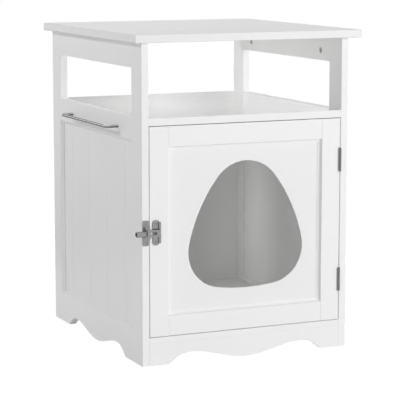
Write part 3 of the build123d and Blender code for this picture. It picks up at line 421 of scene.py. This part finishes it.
def solid_boxes(node):
    """The lowest and highest corners of each separate solid in a CAD node."""
    solid = bmesh.new()
    solid.from_mesh(nodes[node].data)
    bmesh.ops.remove_doubles(solid, verts=solid.verts, dist=weld_reach)
    solid.verts.index_update()
    boxes = []
    seen = set()
    for start in solid.verts:
        if start.index in seen:
            continue
        seen.add(start.index)
        joined = [start]
        for corner in joined:
            for edge in corner.link_edges:
                beside = edge.other_vert(corner)
                if beside.index not in seen:
                    seen.add(beside.index)
                    joined.append(beside)
        low = Vector([min(corner.co[axis] for corner in joined) for axis in range(3)])
        high = Vector([max(corner.co[axis] for corner in joined) for axis in range(3)])
        boxes.append((low, high))
    solid.free()
    return boxes


def head_place(box, facing):
    """The middle of a box's face on the side that a head faces, with that direction."""
    low, high = box
    facing = Vector(facing)
    return (low + high) / 2 + (high - low) / 2 * facing, facing


def add_cross_head(turned, place, facing, profile, cross):
    """A turned fastener with a cross recess in its head.

    The profile gives radius and depth from the head to the end, and the cross its reach, width and depth.
    """
    stand = Matrix.Translation(place) @ facing.to_track_quat("Z", "Y").to_matrix().to_4x4()
    angles = [2 * math.pi * step / head_sides for step in range(head_sides)]
    rings = []
    for radius, depth in profile:
        corners = [Vector((radius * math.cos(angle), radius * math.sin(angle), -depth)) for angle in angles]
        rings.append([turned.verts.new(stand @ corner) for corner in corners])
    for upper, lower in zip(rings, rings[1:]):
        for step in range(head_sides):
            after = (step + 1) % head_sides
            turned.faces.new((upper[step], lower[step], lower[after], upper[after]))
    turned.faces.new(rings[-1])
    cross_reach, cross_width, cross_depth = cross
    half = cross_width / 2
    arm = ((half, half), (half, cross_reach), (-half, cross_reach))
    outline = []
    for quarter in range(4):
        outline += [Matrix.Rotation(quarter * math.pi / 2, 2) @ Vector(corner) for corner in arm]
    rim = [turned.verts.new(stand @ Vector((x, y, 0))) for x, y in outline]
    pit = [turned.verts.new(stand @ Vector((x * pit_share, y * pit_share, -cross_depth))) for x, y in outline]
    for step in range(len(outline)):
        after = (step + 1) % len(outline)
        turned.faces.new((rim[step], rim[after], pit[after], pit[step]))
    turned.faces.new(pit)
    edges = [
        turned.edges.get((loop[step - 1], loop[step]))
        for loop in (rings[0], rim) for step in range(len(loop))
    ]
    bmesh.ops.triangle_fill(turned, edges=edges, use_beauty=True, use_dissolve=False)


def cross_heads(name, node, body, finish, places, profile, cross):
    """All the fasteners of one CAD node as one piece of separate turned solids, standing for that node."""
    turned = bmesh.new()
    for place, facing in places:
        add_cross_head(turned, place, facing, profile, cross)
    bmesh.ops.recalc_face_normals(turned, faces=turned.faces)
    for face in turned.faces:
        face.smooth = True
    mesh = bpy.data.meshes.new(name)
    turned.to_mesh(mesh)
    turned.free()
    mesh.set_sharp_from_angle(angle=head_crease_angle)
    mesh.materials.append(finish)
    group = bpy.data.objects.new(name, mesh)
    scene.collection.objects.link(group)
    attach(group, body)
    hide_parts(node)


plate_screw = ((0.0029, 0), (0.003, 0.0001), (0.0016, 0.0015), (0.0016, 0.011), (0.0002, 0.014))
plate_cross = (0.0017, 0.0008, 0.0011)
for node, body in (("keeper_screws", "cabinet"), ("hinge_plate_screws", "door")):
    places = [head_place(box, (0, -1, 0)) for box in solid_boxes(node)]
    cross_heads(f"{node}_turned", node, body, latch_nickel, places, plate_screw, plate_cross)

# Towel rail: one chromed rod, bent at both ends, whose ends sit flat on the left mid rail.
# Two pan head screws from inside the cabinet hold it, one in each end.
# Its base colour is painted darker on the underside, a painted dark reflection for the line that chrome shows
# there in a lit room, and painted lighter on top as a highlight.
rail_chrome = plated_metal("rail_chrome", (0.55, 0.55, 0.56), 0.06, 0.13, (900, 40, 900), 0.00001)
# Painted shade and highlight: how far the rod's surface faces down or up sets how much its chrome colour is
# darkened or lightened.
under_facing = -0.45
upper_facing = 0.5
painted_shade_under = 0.08
painted_light_upper = 1.25
rail_tree = rail_chrome.node_tree
rail_facing = rail_tree.nodes.new("ShaderNodeNewGeometry")
rail_height = rail_tree.nodes.new("ShaderNodeSeparateXYZ")
rail_tree.links.new(rail_facing.outputs["Normal"], rail_height.inputs["Vector"])
rail_painted_level = add_range(
    rail_tree, rail_height.outputs["Z"], under_facing, upper_facing, painted_shade_under, painted_light_upper
)
# This node paints the shade and highlight into the base colour by scaling the chrome's colour with that
# facing share.
rail_painted_shade = rail_tree.nodes.new("ShaderNodeVectorMath")
rail_painted_shade.operation = "SCALE"
rail_tree.links.new(rail_tree.nodes["tint"].outputs["Color"], rail_painted_shade.inputs[0])
rail_tree.links.new(rail_painted_level, rail_painted_shade.inputs["Scale"])
rail_tree.links.new(rail_painted_shade.outputs["Vector"], rail_tree.nodes["Principled BSDF"].inputs["Base Color"])
finish_node("towel_rail", rail_chrome)
screw_zinc = plated_metal("screw_zinc", (0.5, 0.5, 0.48), 0.3, 0.42, (1200, 1200, 1200), 0.00002)
rail_screw = (
    (0.0019, 0), (0.0027, 0.0002), (0.0032, 0.0006), (0.00355, 0.0014), (0.0036, 0.0024), (0.0017, 0.0024),
    (0.0017, 0.028), (0.0013, 0.0284),
)
rail_cross = (0.0018, 0.0009, 0.0014)
places = [head_place(box, (1, 0, 0)) for box in solid_boxes("rail_screws")]
cross_heads(
    "rail_screws_turned", "rail_screws", "cabinet", screw_zinc, places, rail_screw, rail_cross
)

# Hinge screws: small countersunk wood screws of zinc plated steel, two in each leaf.
# They are set flush in the leaves, so that the door can close.
hinge_screw = ((0.0025, 0), (0.0026, 0.0001), (0.0015, 0.0012), (0.0015, 0.009), (0.0002, 0.012))
hinge_cross = (0.0014, 0.0007, 0.0009)
for node, body, facing in (
    ("hinge_cabinet_screws", "cabinet", (-1, 0, 0)),
    ("hinge_door_screws", "door", (1, 0, 0)),
):
    places = [head_place(box, facing) for box in solid_boxes(node)]
    cross_heads(f"{node}_turned", node, body, screw_zinc, places, hinge_screw, hinge_cross)

# Cam locks: die-cast zinc drums sunk in round pockets, inside the top rails and under the boards.
# A screwdriver in the cross turns each one and draws its bolt in, and the bolts are hidden in the boards.
cam_drum = ((0.0055, 0), (0.0059, 0.0002), (0.006, 0.0006), (0.006, 0.0085))
cam_cross = (0.0036, 0.0013, 0.0026)
places = []
for box in solid_boxes("cam_locks"):
    low, high = box
    spans = list(high - low)
    inward = -math.copysign(1, low.x)
    facings = ((inward, 0, 0), (0, 1, 0), (0, 0, -1))
    places.append(head_place(box, facings[spans.index(min(spans))]))
cross_heads("cam_locks_cast", "cam_locks", "cabinet", screw_zinc, places, cam_drum, cam_cross)
finish_node("cam_bolts", screw_zinc)


# Dowels: turned beech pins glued into the joints of the side frames, the door and the back panel.
# Their grain runs along them, with the short dark flecks that beech has.
def beech(name, grain_stretch):
    """Unfinished beech with its grain and flecks drawn out along a dowel."""
    fleck_level = 0.34
    fleck_colour = (0.34, 0.19, 0.1)
    pale_level = 0.62
    pale_colour = (0.62, 0.43, 0.26)
    wood = bpy.data.materials.new(name)
    wood.use_nodes = True
    tree = wood.node_tree
    tree.nodes["Principled BSDF"].inputs["Roughness"].default_value = 0.62
    grain = add_grain(tree, grain_stretch, detail=5)
    add_tint(tree, grain, fleck_level, fleck_colour, pale_level, pale_colour)
    add_relief(tree, grain, strength=0.4, depth=0.0001)
    return wood


finish_node("side_dowels", beech("beech_along_y", (900, 60, 900)))
beech_across = beech("beech_along_x", (60, 900, 900))
finish_node("back_dowels", beech_across)
finish_node("door_dowels", beech_across)
